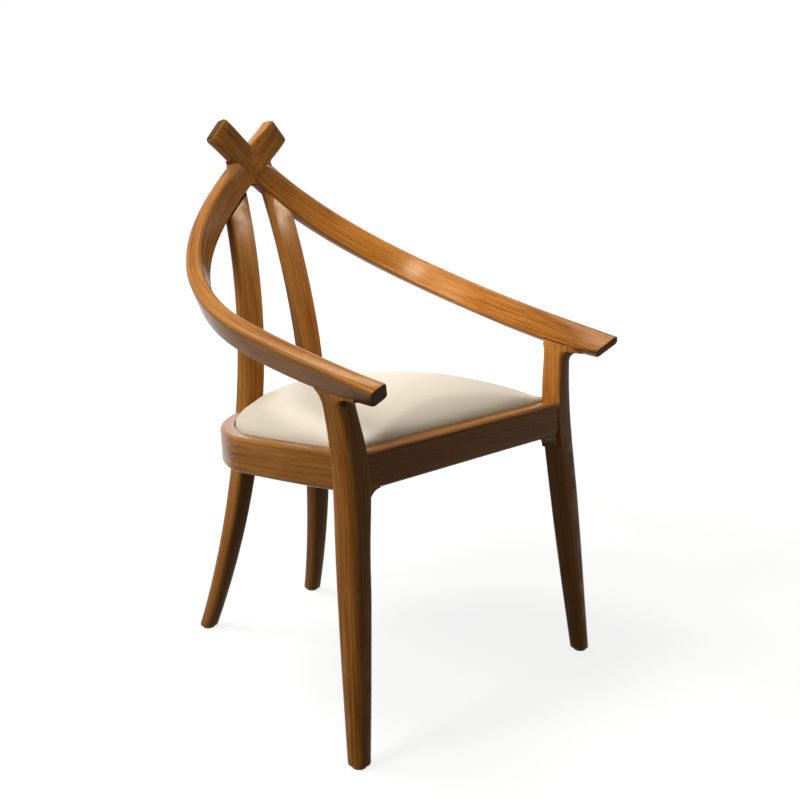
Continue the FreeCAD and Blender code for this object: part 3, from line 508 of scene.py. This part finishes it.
def swell(piece):
    """Blows the pad up under its leather, held where it sits in the ring."""
    start = read(piece.data.vertices, "co", 3)
    held = piece.vertex_groups.new(name="held")
    for vertex in piece.data.vertices:
        free = min(1.0, max(0.0, over_ring(vertex.co) / PAD_EASE))
        held.add([vertex.index], 1.0 - free, "REPLACE")
    cloth = piece.modifiers.new("cloth", "CLOTH").settings
    cloth.vertex_group_mass = "held"
    cloth.use_pressure = True
    cloth.uniform_pressure_force = PAD_PRESSURE
    cloth.tension_stiffness = PAD_STIFFNESS
    cloth.compression_stiffness = PAD_STIFFNESS
    cloth.bending_stiffness = PAD_BENDING
    cloth.effector_weights.gravity = 0
    scene = bpy.context.scene
    for number in range(1, PAD_FRAMES + 1):
        scene.frame_set(number)
    apply_modifiers(piece)
    scene.frame_set(1)
    moved = read(piece.data.vertices, "co", 3) - start
    length = np.linalg.norm(moved, axis=1, keepdims=True)
    moved *= np.minimum(1.0, PAD_SWELL / np.maximum(length, TINY))
    piece.data.vertices.foreach_set("co", (start + moved).astype(np.float32).ravel())


def seat_pad():
    """Crowned pad under its leather, let into the ring."""
    piece = pad_blank()
    swell(piece)
    soften(piece, rounds=3)
    finer = piece.modifiers.new("finer", "SUBSURF")
    finer.levels = 1
    finer.render_levels = 1
    apply_modifiers(piece)
    smooth_faces(piece.data)
    piece.data.materials.clear()
    piece.data.materials.append(leather())
    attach(piece, "root")
    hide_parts("seat_cover", "seat_foam")


def dust_cloth():
    """Thin lining under the pad, stretched to its edge and sagging a little in the middle."""
    low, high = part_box("dust_cloth")
    middle = (low + high) / 2
    corners = [vertex.co for vertex in nodes["dust_cloth"].data.vertices]
    heights = [over_ring(corner) for corner in corners]
    depth = (min(heights) + max(heights)) / 2
    under = {(round(c.x, 5), round(c.y, 5)) for c, height in zip(corners, heights) if height < depth}
    outline = sorted(under, key=lambda place: math.atan2(place[1] - middle.y, place[0] - middle.x))

    def hung(share, x, y):
        """The lining's point at this share of the way from its middle to (x, y) on its edge."""
        x = middle.x + (x - middle.x) * share
        y = middle.y + (y - middle.y) * share
        sag = LINING_SAG * max(0.0, 1 - (share / LINING_FREE) ** 2) ** 2
        z = SEAT_FRONT.z + (depth - (y - SEAT_FRONT.y) * math.sin(SEAT_SLOPE)) / math.cos(SEAT_SLOPE)
        return x, y, z - sag

    count = len(outline)
    after = [(i + 1) % count for i in range(count)]
    vertices = [hung(0.0, *outline[0])]
    faces = [(0, 1 + after[i], 1 + i) for i in range(count)]
    for ring in range(LINING_RINGS):
        vertices += [hung((ring + 1) / LINING_RINGS, x, y) for x, y in outline]
        if ring:
            inner, outer = 1 + (ring - 1) * count, 1 + ring * count
            faces += [(inner + i, inner + after[i], outer + after[i], outer + i) for i in range(count)]
    mesh = bpy.data.meshes.new("lining")
    mesh.from_pydata(vertices, [], faces)
    mesh.materials.append(speckled("lining", dark=(0.010, 0.010, 0.011), light=(0.028, 0.028, 0.030),
                                   scale=1400.0, roughness=0.85, depth=0.0004))
    piece = new_object("lining", mesh)
    thick = piece.modifiers.new("thick", "SOLIDIFY")
    thick.thickness = LINING_THICKNESS
    thick.offset = 0.0
    apply_modifiers(piece)
    smooth_faces(piece.data)
    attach(piece, "root")
    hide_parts("dust_cloth")


# Stage

def seen_directly(tree):
    """1 for what the camera, a mirror or glass shows, 0 for light that falls on a dull surface."""
    path = add(tree, "LightPath")
    seen = math_node(tree, "MAXIMUM", path.outputs["Is Camera Ray"], path.outputs["Is Glossy Ray"])
    return math_node(tree, "MAXIMUM", seen, path.outputs["Is Transmission Ray"])


def floor():
    """White ground with the chair's soft shadow."""
    r = FLOOR_REACH
    mesh = bpy.data.meshes.new("floor")
    mesh.from_pydata([(-r, -r, 0), (r, -r, 0), (r, r, 0), (-r, r, 0)], [], [(0, 1, 2, 3)])
    piece = new_object("floor", mesh)
    made, tree, shader = material("pale_floor")
    fill(tree, shader, Base_Color=FLOOR_BOUNCE, Roughness=0.9, Specular_IOR_Level=0.0)
    shaded = add(tree, "BsdfDiffuse", Color=FLOOR_SHADE)
    away = add(tree, "VectorMath", operation="LENGTH", i0=own_place(tree)).outputs["Value"]
    near, far = FLOOR_SHADOW
    glow = add(tree, "MapRange", Value=away, From_Min=near, From_Max=far, To_Min=FLOOR_NEAR, To_Max=1.0)
    white = add(tree, "Emission", Color=(*WHITE, 1), Strength=glow.outputs["Result"])
    ground = add(tree, "AddShader", i0=shaded.outputs[0], i1=white.outputs[0])
    mix = add(tree, "MixShader", Fac=seen_directly(tree), i1=shader.outputs[0], i2=ground.outputs[0])
    fill(tree, tree.nodes["Material Output"], Surface=mix.outputs[0])
    mesh.materials.append(made)


def lamp(name, place, target, width, watts, spread=180.0):
    """Round area lamp that faces the target and spreads over so many degrees."""
    light = bpy.data.lights.new(name, "AREA")
    light.shape = "DISK"
    light.size = width
    light.energy = watts
    light.spread = math.radians(spread)
    made = new_object(name, light)
    made.location = place
    made.rotation_euler = (Vector(target) - Vector(place)).to_track_quat("-Z", "Y").to_euler()


def studio():
    """White surroundings, broad lamps above, beside and behind, and two narrow ones for highlights."""
    scene = bpy.context.scene
    scene.view_settings.view_transform = "Standard"
    world = bpy.data.worlds.new("studio")
    world.use_nodes = True
    scene.world = world
    tree = world.node_tree
    tree.nodes.clear()
    seen = add(tree, "Background", Color=(*WHITE, 1), Strength=1.0)
    lit = add(tree, "Background", Color=FILL_COLOUR, Strength=FILL_STRENGTH)
    mix = add(tree, "MixShader", Fac=seen_directly(tree), i1=lit.outputs[0], i2=seen.outputs[0])
    add(tree, "OutputWorld", Surface=mix.outputs[0])
    lamp("key", place=(-0.55, 0.7, 2.6), target=(0, 0, 0.45), width=1.0, watts=43.0)
    lamp("side", place=(-1.9, 0.25, 2.0), target=(0, 0, 0.5), width=0.8, watts=33.0)
    lamp("sheen", place=(-1.55, -0.65, 2.05), target=(0.24, 0.05, 0.60), width=0.2, watts=0.35, spread=16.0)
    lamp("front", place=(1.5, -1.35, 1.8), target=(0.02, 0.25, 0.60), width=0.3, watts=0.19, spread=13.0)
    lamp("back", place=(1.9, 2.4, 1.6), target=(0, 0, 0.5), width=1.4, watts=10.0)
    floor()


def camera():
    lens = bpy.data.cameras.new("camera")
    lens.lens = CAMERA_LENS
    lens.sensor_width = CAMERA_SENSOR
    made = new_object("camera", lens)
    made.location = CAMERA_PLACE
    made.rotation_euler = (math.radians(CAMERA_PITCH), 0, math.radians(CAMERA_TURN))
    bpy.context.scene.camera = made


dress_wood()
dress_hidden()
seat_pad()
dust_cloth()
studio()
camera()
